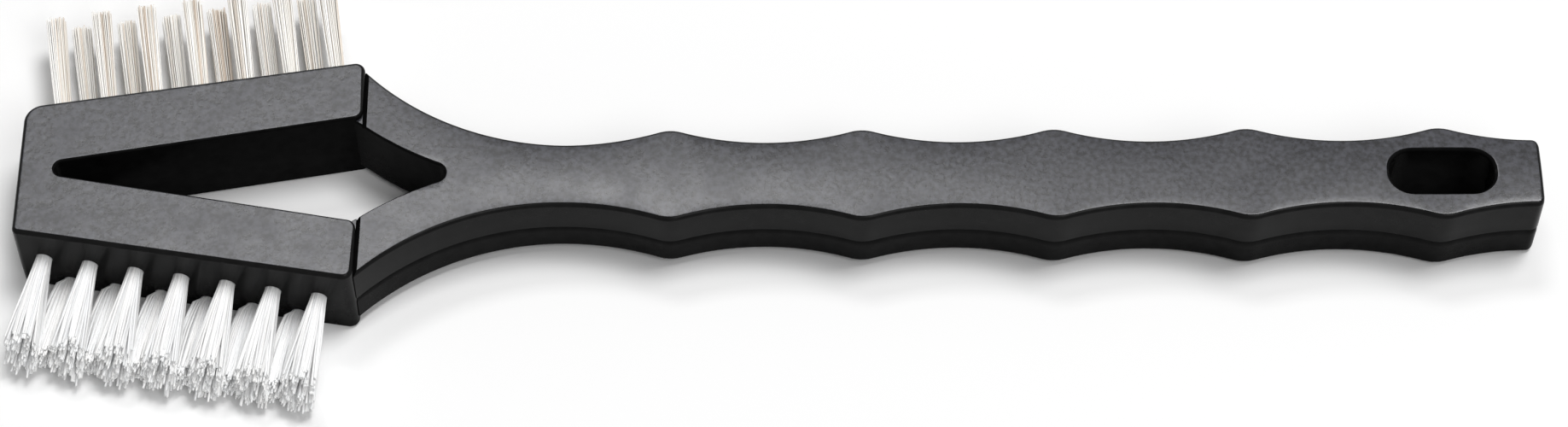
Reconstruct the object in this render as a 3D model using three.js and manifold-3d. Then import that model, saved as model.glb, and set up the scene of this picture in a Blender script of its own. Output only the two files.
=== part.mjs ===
// Two-sided instrument cleaning brush: one moulded body with a forked head, thirteen nylon tufts on
// one arm and thirteen steel-wire tufts on the other. Each tuft is folded round a flat metal anchor
// and set in a blind hole. Millimetres: +X runs from the head to the tail, +Y to the steel side, +Z up.
import * as THREE from 'three';
import { mergeVertices } from 'three/addons/utils/BufferGeometryUtils.js';
import Module from 'manifold-3d';

const wasm = await Module();
wasm.setup();

// Head: two arms that spread from a front bar, seen in plan
const headLength = 39.8;
const headFrontWidth = 17.4;
const headBackWidth = 30.3;
const openingBackWidth = 14.2;
const openingTipRadius = 0.95;
const frontBarDepth = 4.3;
const steelFrontCorner = 2.4;
const nylonFrontCorner = 0.8;
const armEndCorner = 1.2;

// Yoke and neck: two curved bars that join the arms to the handle
const yokeLength = 23.7;
const yokeBackWidth = 28.4;
const yokeBarWidth = 6.0;
const yokeNotchRadius = 1.2;
const armTenonLength = 3.0;
const armTenonWidth = 4.0;
const neckWidth = 8.6;

// Handle: a row of finger scallops with rounded ridges between them
const neckToRidge = 12.4;
const ridgeCount = 5;
const ridgePitch = 22.53;
const ridgeWidth = 12.6;
const valleyWidth = 9.2;
const ridgeBlend = 0.55;
const tailLength = 11.7;
const tailCorner = 1.0;

// Hang slot, centred on the last ridge
const slotLength = 12.0;
const slotWidth = 5.7;
const slotCorner = 2.6;

// Heights above the surface that the brush lies on, and moulded edges
const headThickness = 11.5;
const yokeTop = 10.75;
const yokeUnderside = 1.05;
const neckTop = 10.2;
const neckUnderside = 1.0;
const tailThickness = 11.0;
const edgeRound = 0.5;

// Tuft holes: an upper and a lower row on each arm's outer wall
const upperRowCount = 7;
const upperRowHeight = 6.2;
const lowerRowHeight = 1.75;
const tuftPitch = 5.45;
const holeDiameter = 2.0;
const holeDepth = 5.0;

// Tufts and anchors
const nylon = { firstInset: 3.2, freeLength: 10.6, tipDiameter: 3.2 };
const steel = { firstInset: 4.0, freeLength: 15.2, tipDiameter: 2.2 };
const tuftClearance = 0.15;
const tuftRootRound = 0.4;
const tuftTipDome = 0.5;
const foldThickness = 0.9;
const anchorWidth = 2.6;
const anchorHeight = 1.6;
const anchorThickness = 0.3;
const anchorClearance = 0.12;

// Fineness of the round shapes
const edgeSegments = 2;
const arcSegments = 5;
const scallopSegments = 12;
const tuftSides = 10;

const bodyMaterial = new THREE.MeshStandardMaterial({ color: 0x2b2c2f, roughness: 0.55, metalness: 0 });
const nylonMaterial = new THREE.MeshStandardMaterial({ color: 0xeef1f2, roughness: 0.4, metalness: 0 });
const steelMaterial = new THREE.MeshStandardMaterial({ color: 0xd8d3c8, roughness: 0.3, metalness: 1 });
const anchorMaterial = new THREE.MeshStandardMaterial({ color: 0xb9b9b6, roughness: 0.4, metalness: 1 });

// Places along X, measured from the front end of the head
const stepX = headLength;
const neckX = stepX + yokeLength;
const firstRidgeX = neckX + neckToRidge;
const lastRidgeX = firstRidgeX + (ridgeCount - 1) * ridgePitch;
const tailX = lastRidgeX + tailLength;

function solidOf(geometry) {
  const bare = geometry.clone();
  bare.deleteAttribute('normal');
  bare.deleteAttribute('uv');
  const merged = mergeVertices(bare);
  const mesh = new wasm.Mesh({
    numProp: 3,
    vertProperties: Float32Array.from(merged.attributes.position.array),
    triVerts: Uint32Array.from(merged.index.array),
  });
  return new wasm.Manifold(mesh);
}

function geometryOf(solid) {
  const mesh = solid.getMesh();
  const geometry = new THREE.BufferGeometry();
  geometry.setAttribute('position', new THREE.BufferAttribute(mesh.vertProperties, 3));
  geometry.setIndex(new THREE.BufferAttribute(mesh.triVerts, 1));
  geometry.computeVertexNormals();
  return geometry;
}

// Points of a closed polygon whose corners [x, y, radius] are rounded by arcs
function roundedPolygon(corners) {
  return corners.flatMap(([x, y, radius], i) => {
    const corner = new THREE.Vector2(x, y);
    const before = corners.at(i - 1);
    const after = corners[(i + 1) % corners.length];
    const back = new THREE.Vector2(before[0], before[1]).sub(corner).normalize();
    const ahead = new THREE.Vector2(after[0], after[1]).sub(corner).normalize();
    const halfAngle = Math.acos(back.dot(ahead)) / 2;
    const centre = back.clone().add(ahead).setLength(radius / Math.sin(halfAngle)).add(corner);
    const from = back.multiplyScalar(radius / Math.tan(halfAngle)).add(corner).sub(centre).angle();
    const to = ahead.multiplyScalar(radius / Math.tan(halfAngle)).add(corner).sub(centre).angle();
    const turn = THREE.MathUtils.euclideanModulo(to - from + Math.PI, 2 * Math.PI) - Math.PI;
    return Array.from({ length: arcSegments + 1 }, (_, k) => {
      const angle = from + (turn * k) / arcSegments;
      return new THREE.Vector2(Math.cos(angle), Math.sin(angle)).multiplyScalar(radius).add(centre);
    });
  });
}

// A plate with rounded edges, centred on Z = 0, from a plan outline and the outlines of its holes
function mouldedPlate(outline, holes, thickness) {
  const shape = new THREE.Shape(outline);
  shape.holes = holes.map((points) => new THREE.Path(points));
  const geometry = new THREE.ExtrudeGeometry(shape, {
    depth: thickness - 2 * edgeRound,
    bevelThickness: edgeRound,
    bevelSize: edgeRound,
    bevelOffset: -edgeRound,
    bevelSegments: edgeSegments,
  });
  return geometry.translate(0, 0, edgeRound - thickness / 2);
}

// Where the straight inner edges of the two arms would meet, in front of the opening's round tip
function openingApexX() {
  const tipCentreX = frontBarDepth + openingTipRadius;
  const run = stepX - tipCentreX;
  const rise = openingBackWidth / 2;
  const slope = Math.atan2(rise, run) - Math.asin(openingTipRadius / Math.hypot(run, rise));
  return tipCentreX - openingTipRadius / Math.sin(slope);
}

function headGeometry() {
  const frontHalf = headFrontWidth / 2;
  const backHalf = headBackWidth / 2;
  const openingHalf = openingBackWidth / 2;
  const outline = roundedPolygon([
    [0, -frontHalf, nylonFrontCorner],
    [stepX, -backHalf, armEndCorner],
    [stepX, -openingHalf, armEndCorner],
    [openingApexX(), 0, openingTipRadius],
    [stepX, openingHalf, armEndCorner],
    [stepX, backHalf, armEndCorner],
    [0, frontHalf, steelFrontCorner],
  ]);
  return mouldedPlate(outline, [], headThickness).translate(0, 0, headThickness / 2);
}

// Half-width of one hollow of the handle's side at x, where its lowest place is at centreX
function hollow(x, centreX, waist, radius) {
  const away = Math.abs(x - centreX);
  return away < radius ? waist / 2 + radius - Math.sqrt(radius ** 2 - away ** 2) : Infinity;
}

function hollowRadius(halfSpan, depth) {
  return (halfSpan ** 2 + depth ** 2) / (2 * depth);
}

const yokeRadius = hollowRadius(yokeLength, (yokeBackWidth - neckWidth) / 2);

// The smaller of two half-widths, rounded off where they cross
function blendedMinimum(a, b) {
  const overlap = Math.max(ridgeBlend - Math.abs(a - b), 0);
  return Math.min(a, b) - overlap ** 2 / (4 * ridgeBlend);
}

function handleHalfWidth(x) {
  const crest = ridgeWidth + ridgeBlend / 2;
  const neckRadius = x < neckX ? yokeRadius : hollowRadius(neckToRidge, (crest - neckWidth) / 2);
  const valleyRadius = hollowRadius(ridgePitch / 2, (crest - valleyWidth) / 2);
  const valleys = Array.from({ length: ridgeCount }, (_, i) => {
    return hollow(x, firstRidgeX + (i + 0.5) * ridgePitch, valleyWidth, valleyRadius);
  });
  return [hollow(x, neckX, neckWidth, neckRadius), ...valleys].filter(Number.isFinite).reduce(blendedMinimum);
}

// Places along X where the handle's side is drawn: even steps between the yoke, neck, ridges and tail
function handleStations() {
  const ridges = Array.from({ length: ridgeCount }, (_, i) => firstRidgeX + i * ridgePitch);
  const marks = [stepX, neckX, ...ridges, tailX - tailCorner];
  return marks.flatMap((mark, i) => {
    const next = marks[i + 1] ?? mark;
    const count = next > mark ? scallopSegments : 1;
    return Array.from({ length: count }, (_, k) => mark + ((next - mark) * k) / count);
  });
}

// Inner edge of a yoke bar, on the same centre as its outer edge
function yokeInnerHalf(x) {
  const centreY = neckWidth / 2 + yokeRadius;
  return centreY - Math.sqrt((yokeRadius + yokeBarWidth) ** 2 - (neckX - x) ** 2);
}

// Upper half of the notch between the yoke bars, from the arms to its round tip
function notchEdge() {
  const centreY = neckWidth / 2 + yokeRadius;
  const tipReach = Math.sqrt((yokeRadius + yokeBarWidth + yokeNotchRadius) ** 2 - centreY ** 2);
  const tipCentreX = neckX - tipReach;
  const touch = Math.atan2(centreY, tipReach);
  const touchX = tipCentreX + yokeNotchRadius * Math.cos(touch);
  const bar = Array.from({ length: arcSegments }, (_, k) => {
    const x = stepX + ((touchX - stepX) * k) / arcSegments;
    return new THREE.Vector2(x, yokeInnerHalf(x));
  });
  const tip = Array.from({ length: arcSegments }, (_, k) => {
    const angle = touch * (1 - k / arcSegments);
    const x = tipCentreX + yokeNotchRadius * Math.cos(angle);
    return new THREE.Vector2(x, yokeNotchRadius * Math.sin(angle));
  });
  return [...bar, ...tip, new THREE.Vector2(tipCentreX + yokeNotchRadius, 0)];
}

// Upper half of the handle's outline, from the notch round a tenon in the arm to the tail
function handleGeometry() {
  const tenonMiddle = (yokeInnerHalf(stepX) + handleHalfWidth(stepX)) / 2;
  const tenon = [-0.5, 0.5].map((side) => {
    return new THREE.Vector2(stepX - armTenonLength, tenonMiddle + side * armTenonWidth);
  });
  const side = handleStations().map((x) => new THREE.Vector2(x, handleHalfWidth(x)));
  const tailHalf = handleHalfWidth(tailX - tailCorner);
  const corner = Array.from({ length: arcSegments }, (_, k) => {
    const angle = (Math.PI / 2) * (1 - (k + 1) / arcSegments);
    const x = tailX - tailCorner + tailCorner * Math.cos(angle);
    return new THREE.Vector2(x, tailHalf - tailCorner + tailCorner * Math.sin(angle));
  });
  const upper = [...notchEdge().reverse(), ...tenon, ...side, ...corner];
  const lower = upper.slice(1).reverse().map((point) => new THREE.Vector2(point.x, -point.y));
  const slot = roundedPolygon([
    [lastRidgeX - slotLength / 2, -slotWidth / 2, slotCorner],
    [lastRidgeX + slotLength / 2, -slotWidth / 2, slotCorner],
    [lastRidgeX + slotLength / 2, slotWidth / 2, slotCorner],
    [lastRidgeX - slotLength / 2, slotWidth / 2, slotCorner],
  ]);
  return tapered(mouldedPlate([...upper, ...lower], [slot], yokeTop - yokeUnderside));
}

// Height at x of a face that runs straight from the yoke to the neck and from there to the tail
function faceHeight(x, yoke, neck, tail) {
  const { mapLinear } = THREE.MathUtils;
  return x < neckX ? mapLinear(x, stepX, neckX, yoke, neck) : mapLinear(x, neckX, tailX, neck, tail);
}

// The handle's plate set between its top and underside, which spread towards the tail
function tapered(geometry) {
  const position = geometry.attributes.position;
  const half = (yokeTop - yokeUnderside) / 2;
  for (let i = 0; i < position.count; i += 1) {
    const x = position.getX(i);
    const underside = faceHeight(x, yokeUnderside, neckUnderside, 0);
    const top = faceHeight(x, yokeTop, neckTop, tailThickness);
    position.setZ(i, THREE.MathUtils.mapLinear(position.getZ(i), -half, half, underside, top));
  }
  return geometry;
}

// Frame of an arm's outer wall: X along the wall from the front, Z out of the wall
function wallGroup(side) {
  const spread = Math.atan2((headBackWidth - headFrontWidth) / 2, headLength);
  const group = new THREE.Group();
  group.rotation.set(-side * Math.PI / 2, 0, side * spread, 'ZXY');
  group.position.set(0, side * headFrontWidth / 2, 0);
  group.updateMatrix();
  return group;
}

// Places of the tufts in a wall's frame, upper row first, with the lower row set between its tufts.
// The wall's Y points down on the steel side and up on the nylon side.
function tuftPlaces({ side, bristle }) {
  const rows = [
    { count: upperRowCount, start: bristle.firstInset, height: upperRowHeight },
    { count: upperRowCount - 1, start: bristle.firstInset + tuftPitch / 2, height: lowerRowHeight },
  ];
  return rows.flatMap(({ count, start, height }) => {
    return Array.from({ length: count }, (_, i) => new THREE.Vector3(start + i * tuftPitch, -side * height, 0));
  });
}

const tuftRootDepth = holeDepth - tuftClearance;
const anchorDepth = tuftRootDepth - foldThickness - anchorHeight / 2;

function boxAt(width, thickness, height, z) {
  return new THREE.BoxGeometry(width, thickness, height).translate(0, 0, z);
}

// A blind hole with the two keyways that its anchor bites into
function holeCutter() {
  const proud = edgeRound;
  const bore = new THREE.CylinderGeometry(holeDiameter / 2, holeDiameter / 2, holeDepth + proud, tuftSides);
  bore.rotateX(Math.PI / 2).translate(0, 0, (proud - holeDepth) / 2);
  const grow = 2 * anchorClearance;
  const keyway = boxAt(anchorWidth + grow, anchorThickness + grow, anchorHeight + grow, -anchorDepth);
  return geometryOf(solidOf(bore).add(solidOf(keyway)));
}

// A bundle of bristles that flares from the hole to the tip, with a window for its anchor
function tuftGeometry({ freeLength, tipDiameter }) {
  const root = holeDiameter / 2 - tuftClearance;
  const tip = tipDiameter / 2;
  const profile = [
    [0, -tuftRootDepth],
    [root - tuftRootRound, -tuftRootDepth],
    [root, tuftRootRound - tuftRootDepth],
    [root, 0],
    [tip, freeLength - tuftTipDome],
    [tip - tuftTipDome, freeLength],
    [0, freeLength],
  ].map(([radius, z]) => new THREE.Vector2(radius, z));
  const bundle = new THREE.LatheGeometry(profile, tuftSides).rotateX(Math.PI / 2);
  const grow = 2 * anchorClearance;
  const window = boxAt(2 * holeDiameter, anchorThickness + grow, anchorHeight + grow, -anchorDepth);
  return geometryOf(solidOf(bundle).subtract(solidOf(window)));
}

const arms = [
  { name: 'nylon', side: -1, bristle: nylon, material: nylonMaterial },
  { name: 'steel', side: 1, bristle: steel, material: steelMaterial },
];

function bodyMesh() {
  let solid = solidOf(headGeometry()).add(solidOf(handleGeometry()));
  const cutter = holeCutter();
  for (const arm of arms) {
    const wall = wallGroup(arm.side);
    for (const place of tuftPlaces(arm)) {
      const hole = cutter.clone().translate(place.x, place.y, place.z).applyMatrix4(wall.matrix);
      solid = solid.subtract(solidOf(hole));
    }
  }
  const mesh = new THREE.Mesh(geometryOf(solid), bodyMaterial);
  mesh.name = 'moulded_body';
  return mesh;
}

// The tufts and anchors of one arm, numbered from the front
function tuftedWall(arm) {
  const { name, side, bristle, material } = arm;
  const wall = wallGroup(side);
  const tuftShape = tuftGeometry(bristle);
  const anchorShape = boxAt(anchorWidth, anchorThickness, anchorHeight, -anchorDepth);
  tuftPlaces(arm).forEach((place, i) => {
    const number = String(i + 1).padStart(2, '0');
    const tuft = new THREE.Mesh(tuftShape, material);
    tuft.name = `${name}_tuft_${number}`;
    tuft.position.copy(place);
    const anchor = new THREE.Mesh(anchorShape, anchorMaterial);
    anchor.name = `${name}_anchor_${number}`;
    anchor.position.copy(place);
    wall.add(tuft, anchor);
  });
  return wall;
}

// The finished brush stands with its underside on Z = 0, centred on its own box
const brush = new THREE.Group();
brush.add(bodyMesh(), ...arms.map(tuftedWall));
const box = new THREE.Box3().setFromObject(brush, true);
const middle = box.getCenter(new THREE.Vector3());
brush.position.set(-middle.x, -middle.y, -box.min.z);

export default brush;
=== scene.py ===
"""Two-sided instrument cleaning brush on a white table: its moulded body, its bristles and the studio.

Shapes are drawn in millimetres from the front end of the head, the centreline and the table, and TO_FRAME
carries them into the frame.
"""
import math
import random

import bmesh
import bpy
from mathutils import Euler, Matrix, Vector


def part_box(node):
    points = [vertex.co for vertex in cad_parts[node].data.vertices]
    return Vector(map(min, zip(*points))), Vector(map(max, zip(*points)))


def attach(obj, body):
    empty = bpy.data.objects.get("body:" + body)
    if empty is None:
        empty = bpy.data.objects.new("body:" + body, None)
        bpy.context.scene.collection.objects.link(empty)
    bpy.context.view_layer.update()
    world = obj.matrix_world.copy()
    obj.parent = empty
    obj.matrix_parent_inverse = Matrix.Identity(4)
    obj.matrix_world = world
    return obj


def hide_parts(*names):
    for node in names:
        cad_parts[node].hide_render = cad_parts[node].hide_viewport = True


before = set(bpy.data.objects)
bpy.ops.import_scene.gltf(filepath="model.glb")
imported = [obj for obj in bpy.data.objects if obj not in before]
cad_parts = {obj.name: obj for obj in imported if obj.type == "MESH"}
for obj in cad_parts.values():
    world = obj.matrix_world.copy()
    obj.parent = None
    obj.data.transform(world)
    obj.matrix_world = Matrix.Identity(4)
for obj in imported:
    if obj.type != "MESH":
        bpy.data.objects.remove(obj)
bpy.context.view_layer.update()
body_low, body_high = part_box("moulded_body")

MM = 0.001
FRONT = Vector((body_low.x, (body_low.y + body_high.y) / 2, 0))
TO_FRAME = Matrix.Translation(FRONT) @ Matrix.Scale(MM, 4)
TO_MODEL = TO_FRAME.inverted()
UP = Vector((0, 0, 1))

# Head: two arms that spread from a front bar, seen in plan
HEAD_LENGTH = 39.8
HEAD_FRONT_WIDTH = 17.4
HEAD_BACK_WIDTH = 30.3
OPENING_BACK_WIDTH = 14.2
OPENING_TIP_RADIUS = 0.95
FRONT_BAR_DEPTH = 4.3
STEEL_FRONT_CORNER = 2.4
NYLON_FRONT_CORNER = 0.8
ARM_END_CORNER = 1.2

# Yoke and neck: two curved bars that join the arms to the handle
YOKE_LENGTH = 23.7
YOKE_BACK_WIDTH = 28.4
YOKE_BAR_WIDTH = 6.0
YOKE_NOTCH_RADIUS = 1.2
TENON_LENGTH = 3.0
TENON_WIDTH = 4.0
NECK_WIDTH = 8.6

# Handle: a row of finger scallops with rounded ridges between them
NECK_TO_RIDGE = 12.4
RIDGE_COUNT = 5
RIDGE_PITCH = 22.53
RIDGE_WIDTH = 12.6
VALLEY_WIDTH = 9.2
RIDGE_BLEND = 0.95
TAIL_LENGTH = 11.7
TAIL_CORNER = 1.0

# Hang slot, centred on the last ridge
SLOT_LENGTH = 12.0
SLOT_WIDTH = 5.7
SLOT_CORNER = 2.6

# Heights above the table
HEAD_THICKNESS = 11.5
YOKE_TOP = 10.75
YOKE_UNDERSIDE = 1.05
NECK_TOP = 10.2
NECK_UNDERSIDE = 1.0
TAIL_THICKNESS = 11.0

# Moulded edges: rounded rims, walls that lean in from the parting seam, and a slight crown on the handle
EDGE_ROUND = 0.55
OPENING_ROUND = 0.32
SLOT_ROUND = 0.55
DRAFT = 0.06
SEAM_LEVEL = -0.7
SEAM_HEIGHT = 1.0
SEAM_DEPTH = 0.3
GROOVE_WIDTH = 0.55
GROOVE_DEPTH = 0.6
CROWN = 0.12

# Tufts: their holes, the roots of their solids, and how many an upper row holds
HOLE_RADIUS = 1.0
HOLE_DEPTH = 5.0
HOLE_CHAMFER = 0.12
HOLE_CUT_PAST = 1.0
TUFT_ROOT_DEPTH = 4.85
TUFT_ROOT_BAND = 0.3
UPPER_ROW_COUNT = 7

# Bristles of each kind, and for each of its two rows how long they are and how far their tips spread
NYLON = {
    "count": 260,
    "radius": 0.14,
    "waver": 0.09,  # how far a tip strays at random
    "clumps": 13,  # groups in which the tips gather
    "gather": 0.45,  # share of the way that a tip moves to its clump
    "scatter": 0.03,  # share of its length that a bristle varies at random
    "dome": 0.3,  # how much shorter the outermost bristles are
    # Slant lengthens the lowest bristles, lift raises the tips, along and tall spread them in a curve
    "upper": {"length": 10.6, "slant": 2.2, "lift": -2.1, "along": 2.0, "tall": 2.9, "curve": 1.1},
    "lower": {"length": 10.5, "slant": 1.0, "lift": 0.8, "along": 2.1, "tall": 1.6, "curve": 0.2},
}
STEEL = {
    "count": 120,
    "radius": 0.075,
    "waver": 0.05,
    "clumps": 6,
    "gather": 0.0,
    "scatter": 0.008,
    "dome": 0.1,
    "upper": {"length": 15.2, "slant": 0.0, "lift": 0.0, "along": 1.08, "tall": 1.0, "curve": 0.6},
    "lower": {"length": 15.2, "slant": 0.0, "lift": 1.8, "along": 1.08, "tall": 1.0, "curve": 0.6},
}
BUNDLE_ROOT_RADIUS = 0.84
BRISTLE_START = -2.5
ROOT_BIAS = 1.6
DROP_CURVE = 1.1
GATHER_CURVE = 3
TIP_TAPER = 0.8
TIP_BEVEL = 0.07
TUFT_TONE_SHARE = 0.2
GOLDEN_ANGLE = math.pi * (3 - math.sqrt(5))
SEED = 7

# Fineness of the round shapes
ARC_STEPS = 10
EDGE_STEPS = 6
CROWN_STEPS = 6
STATION_SPACING = 0.5
HOLE_SIDES = 24
BRISTLE_SIDES = 5
BRISTLE_STEPS = 5

# Places along X, and the angle at which the arms' outer walls spread
STEP_X = HEAD_LENGTH
NECK_X = STEP_X + YOKE_LENGTH
FIRST_RIDGE_X = NECK_X + NECK_TO_RIDGE
LAST_RIDGE_X = FIRST_RIDGE_X + (RIDGE_COUNT - 1) * RIDGE_PITCH
TAIL_X = LAST_RIDGE_X + TAIL_LENGTH
WALL_SPREAD = math.atan2((HEAD_BACK_WIDTH - HEAD_FRONT_WIDTH) / 2, HEAD_LENGTH)

# Body finishes: grain and painted sheen on the flat faces, and smooth walls painted darker as shade, whose
# gloss rises from the table up to a height
FLAT, OUTER_WALL, OPENING_WALL = range(3)
FLAT_LIMIT = math.cos(math.radians(12))
SHARP_ANGLE = math.radians(35)
GRAIN = {"scale": 1600, "detail": 5}
GRAIN_CLOUDS = {"scale": 260, "detail": 2}
# These colours are lighter than the walls': besides the grain, the lightness is painted sheen
GRAIN_AND_SHEEN_COLOURS = [(0.36, (0.004, 0.004, 0.006)), (0.64, (0.042, 0.043, 0.053))]
GRAIN_ROUGHNESS = (0.2, 0.34)
GRAIN_GLOSS = 0.45
GRAIN_STRENGTH = 0.6
GRAIN_RELIEF = 0.02
WALL_PATCHES = {"scale": 700, "detail": 3}
# Walls and rounded edges are painted darker than the flat faces, as shade
WALL_COLOURS = [(0.3, (0.004, 0.004, 0.004)), (0.7, (0.008, 0.008, 0.008))]
WALL_ROUGHNESS = 0.2
# Wall gloss rises from the table up to a height: the low gloss near the table is painted shade
OUTER_WALL_SHADE_GLOSS = (0.012, 0.06)
# Walls that look into the openings are duller still: painted shade in the openings
OPENING_SHADE_GLOSS = (0.01, 0.01)
SHADE_FADE_HEIGHT = 7.0

# Bristle and anchor finishes, by each strand's own shade or by faint patches
STRAND_SHADE = "strand"
NYLON_COLOURS = [(0, (0.95, 0.96, 0.97)), (1, (0.99, 0.985, 0.975))]
NYLON_ROUGHNESS = 0.5
STEEL_COLOURS = [(0.1, (0.6, 0.53, 0.46)), (0.4, (0.71, 0.69, 0.65)), (0.8, (0.78, 0.775, 0.76))]
STEEL_ROUGHNESS = (0.6, 0.75)
ANCHOR_PATCHES = {"scale": 900, "detail": 2}
ANCHOR_COLOUR = (0.62, 0.62, 0.60, 1)
ANCHOR_ROUGHNESS = (0.3, 0.5)

# Table of white card, in metres
TABLE_SIZE = 6.0
TABLE_COLOUR = (0.98, 0.98, 0.98, 1)
TABLE_ROUGHNESS = 0.9

# Light in metres and degrees: a main box overhead, a fill in front, a box behind for sheen, a surround
SOFT_BOXES = {
    "main_box": {"azimuth": 56, "elevation": 73, "width": 1.08, "depth": 1.08, "radiance": 14.4},
    "front_box": {"azimuth": 145, "elevation": 53, "width": 1.4, "depth": 1.4, "radiance": 4.2},
    "sheen_box": {"azimuth": -13, "elevation": 62, "width": 0.78, "depth": 0.5, "radiance": 11.8},
}
BOX_DISTANCE = 3.0
SURROUND_COLOUR = (1, 1, 1, 1)
SURROUND_LIGHT = 0.12
SURROUND_SEEN = 1

# Camera, fitted to the photograph's edges: its aim is a point on the table
IMAGE_WIDTH = 1837
FOCAL_PIXELS = 4915
CAMERA_ELEVATION = math.radians(58)
CAMERA_DISTANCE = 498.8 * MM
CAMERA_AIM = Vector((0.417, -1.377, 0)) * MM


def solid(name, points, faces):
    """A mesh object whose faces all look outwards."""
    mesh = bpy.data.meshes.new(name)
    mesh.from_pydata(points, [], faces)
    editable = bmesh.new()
    editable.from_mesh(mesh)
    bmesh.ops.recalc_face_normals(editable, faces=editable.faces)
    editable.to_mesh(mesh)
    editable.free()
    obj = bpy.data.objects.new(name, mesh)
    bpy.context.scene.collection.objects.link(obj)
    return obj


def skin(rings, first=0):
    """Faces that join rings of equal count, with a flat face on each end."""
    count = len(rings[0])
    last = first + (len(rings) - 1) * count
    faces = [tuple(range(first, first + count)), tuple(range(last, last + count))]
    for base in range(first, last, count):
        for i in range(count):
            j = (i + 1) % count
            faces.append((base + i, base + j, base + count + j, base + count + i))
    return faces


def loft(name, rings):
    """A closed solid through rings of equal count."""
    return solid(name, [point for ring in rings for point in ring], skin(rings))


def combine(obj, other, operation):
    """Adds or cuts the other solid, and removes it."""
    modifier = obj.modifiers.new("combine", "BOOLEAN")
    modifier.operation = operation
    modifier.solver = "MANIFOLD"
    modifier.object = other
    graph = bpy.context.evaluated_depsgraph_get()
    result = bpy.data.meshes.new_from_object(obj.evaluated_get(graph))
    obj.modifiers.clear()
    obj.data = result
    bpy.data.objects.remove(other)


def arc(centre, radius, start, end, steps):
    """Points from one angle to another, both included."""
    angles = [start + (end - start) * k / steps for k in range(steps + 1)]
    return [Vector((centre[0] + radius * math.cos(a), centre[1] + radius * math.sin(a))) for a in angles]


def ring_round(centre, across, up, radius, sides):
    turns = [2 * math.pi * k / sides for k in range(sides)]
    return [centre + (across * math.cos(a) + up * math.sin(a)) * radius for a in turns]


def rounded_polygon(corners):
    """Outline whose corners (x, y, radius) are rounded by arcs."""
    outline = []
    for i, (x, y, radius) in enumerate(corners):
        corner = Vector((x, y))
        back = (Vector(corners[i - 1][:2]) - corner).normalized()
        ahead = (Vector(corners[(i + 1) % len(corners)][:2]) - corner).normalized()
        half_angle = back.angle(ahead) / 2
        centre = corner + (back + ahead).normalized() * (radius / math.sin(half_angle))
        first = corner + back * (radius / math.tan(half_angle)) - centre
        start = math.atan2(first.y, first.x)
        turn = math.copysign(math.pi - 2 * half_angle, ahead.x * back.y - ahead.y * back.x)
        outline += arc(centre, radius, start, start + turn, ARC_STEPS)
    return outline


def inset(outline, depth):
    """An anticlockwise outline moved inwards, or outwards for a depth below zero."""
    moved = []
    for i, point in enumerate(outline):
        before = (point - outline[i - 1]).normalized()
        after = (outline[(i + 1) % len(outline)] - point).normalized()
        inward = Vector((-before.y - after.y, before.x + after.x))
        moved.append(point + inward * (2 * depth / inward.length_squared))
    return moved


def wall_profile(half_thickness, edge_round, seam_depth):
    """(depth into the wall, height from its middle) of a moulded wall, from lower edge to upper edge."""
    corner = (edge_round + DRAFT, half_thickness - edge_round)
    upper_edge = [tuple(point) for point in arc(corner, edge_round, math.pi, math.pi / 2, EDGE_STEPS)]
    lower_edge = [(depth, -height) for depth, height in reversed(upper_edge)]
    lip = SEAM_HEIGHT / 2
    seam = [(0, SEAM_LEVEL - lip), (seam_depth, SEAM_LEVEL), (0, SEAM_LEVEL + lip)]
    return lower_edge + seam + upper_edge


def opening_apex_x():
    """Where the straight inner edges of the arms would meet, in front of the opening's round tip."""
    tip_x = FRONT_BAR_DEPTH + OPENING_TIP_RADIUS
    run = STEP_X - tip_x
    rise = OPENING_BACK_WIDTH / 2
    slope = math.atan2(rise, run) - math.asin(OPENING_TIP_RADIUS / math.hypot(run, rise))
    return tip_x - OPENING_TIP_RADIUS / math.sin(slope)


def head_plate():
    """The front bar and both arms, with tighter rims round the opening than outside."""
    front = HEAD_FRONT_WIDTH / 2
    back = HEAD_BACK_WIDTH / 2
    opening = OPENING_BACK_WIDTH / 2
    nylon_side = [(0, -front, NYLON_FRONT_CORNER), (STEP_X, -back, ARM_END_CORNER)]
    fork = [
        (STEP_X, -opening, ARM_END_CORNER),
        (opening_apex_x(), 0, OPENING_TIP_RADIUS),
        (STEP_X, opening, ARM_END_CORNER),
    ]
    steel_side = [(STEP_X, back, ARM_END_CORNER), (0, front, STEEL_FRONT_CORNER)]
    outline = rounded_polygon(nylon_side + fork + steel_side)
    fork_start = len(nylon_side) * (ARC_STEPS + 1)
    fork_end = fork_start + len(fork) * (ARC_STEPS + 1)
    half = HEAD_THICKNESS / 2
    outer_walls = wall_profile(half, EDGE_ROUND, 0)
    opening_walls = wall_profile(half, OPENING_ROUND, 0)
    rings = []
    for outer, inner in zip(outer_walls, opening_walls):
        ring = [(p.x, p.y, half + outer[1]) for p in inset(outline, outer[0])]
        opening_ring = [(p.x, p.y, half + inner[1]) for p in inset(outline, inner[0])]
        ring[fork_start:fork_end] = opening_ring[fork_start:fork_end]
        rings.append(ring)
    return loft("body_moulding", rings)


def hollow(x, centre_x, waist, radius):
    """Half-width of one hollow of the handle's side at x, endless where the hollow doesn't reach."""
    away = abs(x - centre_x)
    return waist / 2 + radius - math.sqrt(radius**2 - away**2) if away < radius else math.inf


def hollow_radius(half_span, depth):
    """Radius of the arc that is this deep in the middle of its span."""
    return (half_span**2 + depth**2) / (2 * depth)


YOKE_RADIUS = hollow_radius(YOKE_LENGTH, (YOKE_BACK_WIDTH - NECK_WIDTH) / 2)
YOKE_CENTRE_Y = NECK_WIDTH / 2 + YOKE_RADIUS
PLATE_THICKNESS = YOKE_TOP - YOKE_UNDERSIDE


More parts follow.
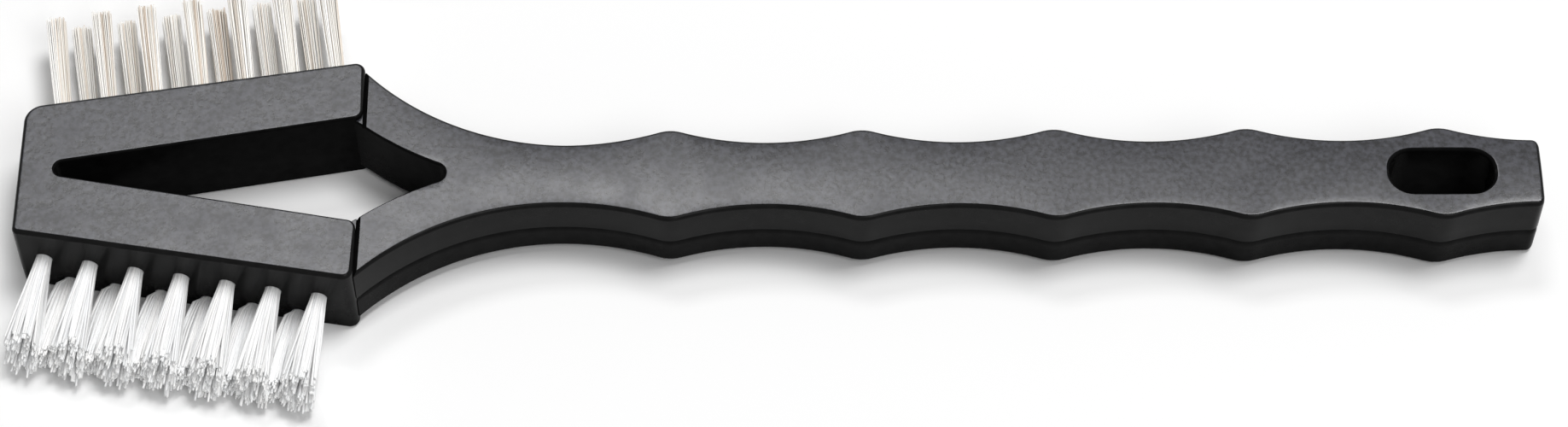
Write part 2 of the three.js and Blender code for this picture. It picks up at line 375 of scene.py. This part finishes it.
def handle_half_width(x):
    """Half-width of the handle at x: its smallest hollow, rounded off where two hollows cross."""
    crest = RIDGE_WIDTH + RIDGE_BLEND / 2
    neck_radius = YOKE_RADIUS if x < NECK_X else hollow_radius(NECK_TO_RIDGE, (crest - NECK_WIDTH) / 2)
    valley_radius = hollow_radius(RIDGE_PITCH / 2, (crest - VALLEY_WIDTH) / 2)
    widths = [hollow(x, NECK_X, NECK_WIDTH, neck_radius)]
    for i in range(RIDGE_COUNT):
        widths.append(hollow(x, FIRST_RIDGE_X + (i + 0.5) * RIDGE_PITCH, VALLEY_WIDTH, valley_radius))
    least, next_least = sorted(widths)[:2]
    overlap = max(RIDGE_BLEND - (next_least - least), 0)
    return least - overlap**2 / (4 * RIDGE_BLEND)


def yoke_inner_half(x):
    """Half of the gap between the yoke bars at x."""
    return YOKE_CENTRE_Y - math.sqrt((YOKE_RADIUS + YOKE_BAR_WIDTH) ** 2 - (NECK_X - x) ** 2)


def handle_section(x, half_width, half_thickness):
    """Closed cross-section of the handle, with its top and underside slightly crowned."""
    flat = half_width - DRAFT - EDGE_ROUND
    profile = wall_profile(half_thickness - CROWN, EDGE_ROUND, SEAM_DEPTH)
    wall = [(half_width - depth, height) for depth, height in profile]
    shares = [k / CROWN_STEPS for k in range(CROWN_STEPS)]
    top = [(flat * share, half_thickness - CROWN * share**2) for share in reversed(shares)]
    underside = [(y, -z) for y, z in reversed(top)]
    right = underside + wall + top
    left = [(-y, z) for y, z in reversed(right[1:-1])]
    return [(x, y, z) for y, z in right + left]


def handle_plate():
    """The handle at one thickness all along, with a tenon at its front and a rounded tail end."""
    half = PLATE_THICKNESS / 2
    tenon_half = (yoke_inner_half(STEP_X) + handle_half_width(STEP_X) + TENON_WIDTH) / 2
    end_x = TAIL_X - TAIL_CORNER
    count = round((end_x - STEP_X) / STATION_SPACING)
    stations = [STEP_X + (end_x - STEP_X) * k / count for k in range(count + 1)]
    rings = [handle_section(STEP_X - TENON_LENGTH, tenon_half, half)]
    rings += [handle_section(x, handle_half_width(x), half) for x in stations]
    end_half = handle_half_width(end_x)
    for k in range(1, ARC_STEPS + 1):
        angle = math.pi / 2 * k / ARC_STEPS
        x = end_x + TAIL_CORNER * math.sin(angle)
        into_edge = max(x - (TAIL_X - EDGE_ROUND), 0)
        drop = EDGE_ROUND - math.sqrt(max(EDGE_ROUND**2 - into_edge**2, 0))
        rings.append(handle_section(x, end_half - TAIL_CORNER * (1 - math.cos(angle)), half - drop))
    return loft("handle", rings)


def opening_cutter(outline, edge_round):
    """Solid that cuts an opening with rounded rims through the handle."""
    profile = wall_profile(PLATE_THICKNESS / 2, edge_round, 0)
    rim = profile[-1][0]
    levels = [(rim, -PLATE_THICKNESS)] + profile + [(rim, PLATE_THICKNESS)]
    return loft("opening", [[(p.x, p.y, z) for p in inset(outline, -depth)] for depth, z in levels])


def notch_outline():
    """The gap between the yoke bars, from in front of the tenons to its round tip."""
    tip_reach = math.sqrt((YOKE_RADIUS + YOKE_BAR_WIDTH + YOKE_NOTCH_RADIUS) ** 2 - YOKE_CENTRE_Y**2)
    tip_x = NECK_X - tip_reach
    touch = math.atan2(YOKE_CENTRE_Y, tip_reach)
    touch_x = tip_x + YOKE_NOTCH_RADIUS * math.cos(touch)
    tenon_half = (yoke_inner_half(STEP_X) + handle_half_width(STEP_X) - TENON_WIDTH) / 2
    tenon_x = STEP_X - TENON_LENGTH
    upper = [Vector((tenon_x - TENON_LENGTH, tenon_half)), Vector((tenon_x, tenon_half))]
    side_steps = 2 * ARC_STEPS
    for k in range(side_steps):
        x = STEP_X + (touch_x - STEP_X) * k / side_steps
        upper.append(Vector((x, yoke_inner_half(x))))
    upper += arc((tip_x, 0), YOKE_NOTCH_RADIUS, touch, 0, ARC_STEPS)
    lower = [Vector((point.x, -point.y)) for point in upper[:-1]]
    return lower + upper[::-1]


def slot_outline():
    reach = SLOT_LENGTH / 2
    half = SLOT_WIDTH / 2
    signs = [(-1, -1), (1, -1), (1, 1), (-1, 1)]
    return rounded_polygon([(LAST_RIDGE_X + sx * reach, sy * half, SLOT_CORNER) for sx, sy in signs])


def step_groove():
    """Solid that cuts the line between the ends of the arms and the lower yoke."""
    front_x = STEP_X - DRAFT
    section = [
        (front_x, YOKE_TOP - GROOVE_DEPTH),
        (front_x + 2 * GROOVE_WIDTH, YOKE_TOP + GROOVE_DEPTH),
        (front_x, YOKE_TOP + GROOVE_DEPTH),
    ]
    return loft("groove", [[(x, y, z) for x, z in section] for y in (-HEAD_BACK_WIDTH, HEAD_BACK_WIDTH)])


def hole_cutters(axes):
    """Solid that cuts the chamfered holes of all tufts."""
    points = []
    faces = []
    wide = HOLE_RADIUS + HOLE_CHAMFER
    profile = [(-HOLE_DEPTH, HOLE_RADIUS), (-HOLE_CHAMFER, HOLE_RADIUS), (0, wide), (HOLE_CUT_PAST, wide)]
    for mouth, outward in axes:
        across = UP.cross(outward)
        rings = [ring_round(mouth + outward * s, across, UP, radius, HOLE_SIDES) for s, radius in profile]
        faces += skin(rings, len(points))
        points += [point for ring in rings for point in ring]
    return solid("holes", points, faces)


def face_height(x, yoke, neck, tail):
    """Height at x of a face that runs straight from the yoke to the neck and from there to the tail."""
    if x < NECK_X:
        return yoke + (neck - yoke) * (x - STEP_X) / (NECK_X - STEP_X)
    return neck + (tail - neck) * (x - NECK_X) / (TAIL_X - NECK_X)


def body_moulding(axes):
    """Head and handle in one piece, with the handle's faces brought to their heights."""
    handle = handle_plate()
    combine(handle, opening_cutter(notch_outline(), OPENING_ROUND), "DIFFERENCE")
    combine(handle, opening_cutter(slot_outline(), SLOT_ROUND), "DIFFERENCE")
    for vertex in handle.data.vertices:
        underside = face_height(vertex.co.x, YOKE_UNDERSIDE, NECK_UNDERSIDE, 0)
        top = face_height(vertex.co.x, YOKE_TOP, NECK_TOP, TAIL_THICKNESS)
        share = vertex.co.z / PLATE_THICKNESS + 0.5
        vertex.co.z = underside + (top - underside) * share
    body = head_plate()
    combine(body, handle, "UNION")
    combine(body, step_groove(), "DIFFERENCE")
    combine(body, hole_cutters(axes), "DIFFERENCE")
    return body


def tuft_axis(node, side):
    """Where a tuft leaves its hole, and its direction, from the tuft's solid."""
    outward = Vector((-math.sin(WALL_SPREAD), side * math.cos(WALL_SPREAD), 0))
    points = [TO_MODEL @ vertex.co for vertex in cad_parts[node].data.vertices]
    deepest = min(point.dot(outward) for point in points)
    root = [point for point in points if point.dot(outward) < deepest + TUFT_ROOT_BAND]
    return sum(root, Vector()) / len(root) + outward * TUFT_ROOT_DEPTH, outward


def spiral_place(i, count):
    """Place number i of count places spread evenly over a unit disc."""
    return Vector((math.cos(i * GOLDEN_ANGLE), math.sin(i * GOLDEN_ANGLE))) * math.sqrt((i + 0.5) / count)


def squared(place):
    """A place on the unit disc moved out to the like place on a square."""
    return place * (place.length / max(abs(place.x), abs(place.y)))


def scatter(draw, amount):
    return Vector((draw.gauss(0, amount), draw.gauss(0, amount)))


def bristle_rings(axis, bristle, shape, place, clump, draw):
    """One bristle from inside its hole to its tip, which leans to its clump and stays above the table."""
    mouth, outward = axis
    across = UP.cross(outward)
    radius = bristle["radius"]
    spread = Vector((shape["along"], shape["tall"]))
    root = place * BUNDLE_ROOT_RADIUS
    tip = squared(place) * spread + Vector((0, shape["lift"])) + scatter(draw, bristle["waver"])
    gather = (squared(clump) - squared(place)) * spread * bristle["gather"]
    bow = scatter(draw, bristle["waver"] / 2)
    length = shape["length"] - bristle["dome"] * place.length_squared
    length += shape["slant"] * (1 - place.y) / 2
    length *= 1 + draw.gauss(0, bristle["scatter"])
    start = mouth + outward * BRISTLE_START + across * root.x + UP * root.y
    rings = [ring_round(start, across, UP, radius, BRISTLE_SIDES)]
    shares = [(k / BRISTLE_STEPS) ** ROOT_BIAS for k in range(BRISTLE_STEPS)]
    for share in shares + [1 - TIP_BEVEL / length, 1]:
        sway = bow * math.sin(math.pi * share) + gather * share**GATHER_CURVE
        x = root.x + (tip.x - root.x) * share ** shape["curve"] + sway.x
        z = root.y + (tip.y - root.y) * share**DROP_CURVE + sway.y
        centre = mouth + outward * (length * share) + across * x + UP * z
        centre.z = max(centre.z, radius)
        ring_radius = radius * TIP_TAPER if share == 1 else radius
        rings.append(ring_round(centre, across, UP, ring_radius, BRISTLE_SIDES))
    return rings


def bristle_bundle(name, axis, bristle, row, draw):
    """A tuft's bristles, which leave the hole side by side and spread towards their tips."""
    clumps = [spiral_place(i, bristle["clumps"]) for i in range(bristle["clumps"])]
    tone = draw.random()
    points = []
    faces = []
    shades = []
    for i in range(bristle["count"]):
        place = spiral_place(i, bristle["count"])
        clump = min(clumps, key=lambda centre: (centre - place).length)
        rings = bristle_rings(axis, bristle, bristle[row], place, clump, draw)
        shade = TUFT_TONE_SHARE * tone + (1 - TUFT_TONE_SHARE) * draw.random()
        faces += skin(rings, len(points))
        points += [point for ring in rings for point in ring]
        shades += [shade] * (len(rings) * BRISTLE_SIDES)
    bundle = solid(name, points, faces)
    bundle.data.attributes.new(STRAND_SHADE, "FLOAT", "POINT").data.foreach_set("value", shades)
    bundle.data.shade_smooth()
    return bundle


def new_material(name):
    """A material, its node tree and its shader's inputs."""
    material = bpy.data.materials.new(name)
    material.use_nodes = True
    tree = material.node_tree
    return material, tree, tree.nodes["Principled BSDF"].inputs


def object_place(tree):
    return tree.nodes.new("ShaderNodeTexCoord").outputs["Object"]


def noise(tree, scale, detail):
    """Noise from 0 to 1 in the object's own space, with scale in features per metre."""
    texture = tree.nodes.new("ShaderNodeTexNoise")
    texture.inputs["Scale"].default_value = scale
    texture.inputs["Detail"].default_value = detail
    tree.links.new(object_place(tree), texture.inputs["Vector"])
    return texture.outputs["Fac"]


def height_above_table(tree):
    parts = tree.nodes.new("ShaderNodeSeparateXYZ")
    tree.links.new(object_place(tree), parts.inputs["Vector"])
    return parts.outputs["Z"]


def strand_shade(tree):
    attribute = tree.nodes.new("ShaderNodeAttribute")
    attribute.attribute_name = STRAND_SHADE
    return attribute.outputs["Fac"]


def feed_colour(tree, value, stops, socket):
    """Colours a socket by a value, through (position, colour) stops."""
    ramp = tree.nodes.new("ShaderNodeValToRGB")
    elements = ramp.color_ramp.elements
    while len(elements) < len(stops):
        elements.new(1)
    for element, (position, colour) in zip(elements, stops):
        element.position = position
        element.color = (*colour, 1)
    tree.links.new(value, ramp.inputs["Fac"])
    tree.links.new(ramp.outputs["Color"], socket)


def feed_range(tree, value, low_high, socket, full=1):
    """Sets a socket between two limits as a value runs from 0 to full."""
    span = tree.nodes.new("ShaderNodeMapRange")
    span.inputs["From Max"].default_value = full
    span.inputs["To Min"].default_value, span.inputs["To Max"].default_value = low_high
    tree.links.new(value, span.inputs["Value"])
    tree.links.new(span.outputs["Result"], socket)


def feed_by_ray(tree, light, seen, socket):
    """Gives a strength one value for light and another where the camera and reflections see it."""
    path = tree.nodes.new("ShaderNodeLightPath")
    ray = path.outputs["Is Camera Ray"]
    for kind in ("Is Glossy Ray", "Is Transmission Ray"):
        either = tree.nodes.new("ShaderNodeMath")
        either.operation = "MAXIMUM"
        tree.links.new(ray, either.inputs[0])
        tree.links.new(path.outputs[kind], either.inputs[1])
        ray = either.outputs["Value"]
    feed_range(tree, ray, (light, seen), socket)


def grain_and_sheen_plastic():
    """Black plastic with a fine eroded grain, as on the top and underside of the moulding, painted lighter
    than the walls as sheen.
    """
    material, tree, inputs = new_material("body_plastic")
    grain = noise(tree, **GRAIN)
    feed_colour(tree, grain, GRAIN_AND_SHEEN_COLOURS, inputs["Base Color"])
    feed_range(tree, noise(tree, **GRAIN_CLOUDS), GRAIN_ROUGHNESS, inputs["Roughness"])
    inputs["Specular IOR Level"].default_value = GRAIN_GLOSS
    bump = tree.nodes.new("ShaderNodeBump")
    bump.inputs["Strength"].default_value = GRAIN_STRENGTH
    bump.inputs["Distance"].default_value = GRAIN_RELIEF * MM
    tree.links.new(grain, bump.inputs["Height"])
    tree.links.new(bump.outputs["Normal"], inputs["Normal"])
    return material


def shaded_wall_plastic(name, gloss):
    """The same plastic on walls and rounded edges, smooth and deep black, with (lowest, highest) gloss:
    darker and duller than the flat faces as painted shade, dullest near the table.
    """
    material, tree, inputs = new_material(name)
    feed_colour(tree, noise(tree, **WALL_PATCHES), WALL_COLOURS, inputs["Base Color"])
    inputs["Roughness"].default_value = WALL_ROUGHNESS
    level = inputs["Specular IOR Level"]
    level.default_value = max(gloss)
    # Gloss lowest at the table and full from a height up: the dull foot of the wall is painted shade
    feed_range(tree, height_above_table(tree), gloss, level, SHADE_FADE_HEIGHT * MM)
    return material


def nylon_material():
    """White filament: each strand has its own shade."""
    material, tree, inputs = new_material("nylon_bristle")
    feed_colour(tree, strand_shade(tree), NYLON_COLOURS, inputs["Base Color"])
    inputs["Roughness"].default_value = NYLON_ROUGHNESS
    return material


def steel_material():
    """Bright drawn wire with a warm cast: each strand has its own shade and polish."""
    material, tree, inputs = new_material("steel_bristle")
    shade = strand_shade(tree)
    feed_colour(tree, shade, STEEL_COLOURS, inputs["Base Color"])
    feed_range(tree, shade, STEEL_ROUGHNESS, inputs["Roughness"])
    inputs["Metallic"].default_value = 1
    return material


def anchor_material():
    """Flat rolled strip with faint patches."""
    material, tree, inputs = new_material("anchor_metal")
    feed_range(tree, noise(tree, **ANCHOR_PATCHES), ANCHOR_ROUGHNESS, inputs["Roughness"])
    inputs["Base Color"].default_value = ANCHOR_COLOUR
    inputs["Metallic"].default_value = 1
    return material


def card_material():
    """White card without any shine."""
    material, _, inputs = new_material("white_card")
    inputs["Base Color"].default_value = TABLE_COLOUR
    inputs["Roughness"].default_value = TABLE_ROUGHNESS
    inputs["Specular IOR Level"].default_value = 0
    return material


def install(obj, node, slot, *materials):
    """Carries a finished piece into the frame in place of its CAD node."""
    obj.data.transform(TO_FRAME)
    obj.data.materials.clear()
    for material in materials:
        obj.data.materials.append(material)
    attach(obj, "root")
    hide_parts(node)


def dress_tufts(kind, side, bristle, material, draw):
    """Puts bristles in place of one side's tufts, which are numbered from the upper row's front."""
    tufts = sorted(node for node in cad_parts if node.startswith(f"{kind}_tuft"))
    axes = [tuft_axis(node, side) for node in tufts]
    for number, (node, axis) in enumerate(zip(tufts, axes), 1):
        row = "upper" if number <= UPPER_ROW_COUNT else "lower"
        bundle = bristle_bundle(f"{kind}_bundle_{number:02d}", axis, bristle, row, draw)
        install(bundle, node, f"{kind}_bristle", material)
    return axes


def dress_anchors():
    metal = anchor_material()
    for name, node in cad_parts.items():
        if "_anchor_" in name:
            node.data.materials.clear()
            node.data.materials.append(metal)


def finish_of(face):
    """Which finish a face of the body has: walls that look inwards are the dullest, as painted shade in the
    openings.
    """
    if abs(face.normal.z) > FLAT_LIMIT:
        return FLAT
    if face.normal.y * (face.center.y - FRONT.y) < 0:
        return OPENING_WALL
    return OUTER_WALL


def sharpen_between_finishes(mesh):
    """Marks the edges where two finishes meet as sharp."""
    finishes = {}
    for face in mesh.polygons:
        for loop in face.loop_indices:
            finishes.setdefault(mesh.loops[loop].edge_index, set()).add(face.material_index)
    for edge, finish in finishes.items():
        if len(finish) > 1:
            mesh.edges[edge].use_edge_sharp = True


def dress_body(axes):
    """Puts the detailed moulding in place of the body's solid."""
    body = body_moulding(axes)
    body.data.shade_smooth()
    body.data.set_sharp_from_angle(angle=SHARP_ANGLE)
    outer_wall = shaded_wall_plastic("body_plastic_wall_shade", OUTER_WALL_SHADE_GLOSS)
    opening_wall = shaded_wall_plastic("body_plastic_opening_shade", OPENING_SHADE_GLOSS)
    install(body, "moulded_body", "body_plastic", grain_and_sheen_plastic(), outer_wall, opening_wall)
    for face in body.data.polygons:
        face.material_index = finish_of(face)
    sharpen_between_finishes(body.data)
    even_faces = body.modifiers.new("even_faces", "WEIGHTED_NORMAL")
    even_faces.keep_sharp = True


def add_table():
    bpy.ops.mesh.primitive_plane_add(size=TABLE_SIZE)
    table = bpy.context.object
    table.name = "table"
    table.data.materials.append(card_material())


def add_soft_box(name, azimuth, elevation, width, depth, radiance):
    """An area lamp that looks at the brush; azimuth turns from straight behind to the right, in degrees."""
    lamp = bpy.data.lights.new(name, "AREA")
    lamp.shape = "RECTANGLE"
    lamp.size = width
    lamp.size_y = depth
    lamp.energy = radiance * math.pi * width * depth
    box = bpy.data.objects.new(name, lamp)
    turn = Euler((math.radians(elevation - 90), 0, -math.radians(azimuth)))
    box.rotation_euler = turn
    box.location = turn.to_matrix() @ UP * BOX_DISTANCE
    bpy.context.scene.collection.objects.link(box)


def add_surround():
    """A world that gives a little even light and that reflections see as white."""
    world = bpy.data.worlds.new("studio")
    world.use_nodes = True
    background = world.node_tree.nodes["Background"].inputs
    background["Color"].default_value = SURROUND_COLOUR
    feed_by_ray(world.node_tree, SURROUND_LIGHT, SURROUND_SEEN, background["Strength"])
    bpy.context.scene.world = world


def add_camera():
    camera = bpy.data.objects.new("camera", bpy.data.cameras.new("camera"))
    camera.data.sensor_fit = "HORIZONTAL"
    camera.data.lens = camera.data.sensor_width * FOCAL_PIXELS / IMAGE_WIDTH
    view_back = Vector((0, -math.cos(CAMERA_ELEVATION), math.sin(CAMERA_ELEVATION)))
    camera.location = CAMERA_AIM + view_back * CAMERA_DISTANCE
    camera.rotation_euler = (math.pi / 2 - CAMERA_ELEVATION, 0, 0)
    bpy.context.scene.collection.objects.link(camera)
    bpy.context.scene.camera = camera


draw = random.Random(SEED)
nylon_axes = dress_tufts("nylon", -1, NYLON, nylon_material(), draw)
steel_axes = dress_tufts("steel", 1, STEEL, steel_material(), draw)
dress_anchors()
dress_body(nylon_axes + steel_axes)

add_table()
for name, values in SOFT_BOXES.items():
    add_soft_box(name, **values)
add_surround()
add_camera()
bpy.context.scene.view_settings.view_transform = "Standard"
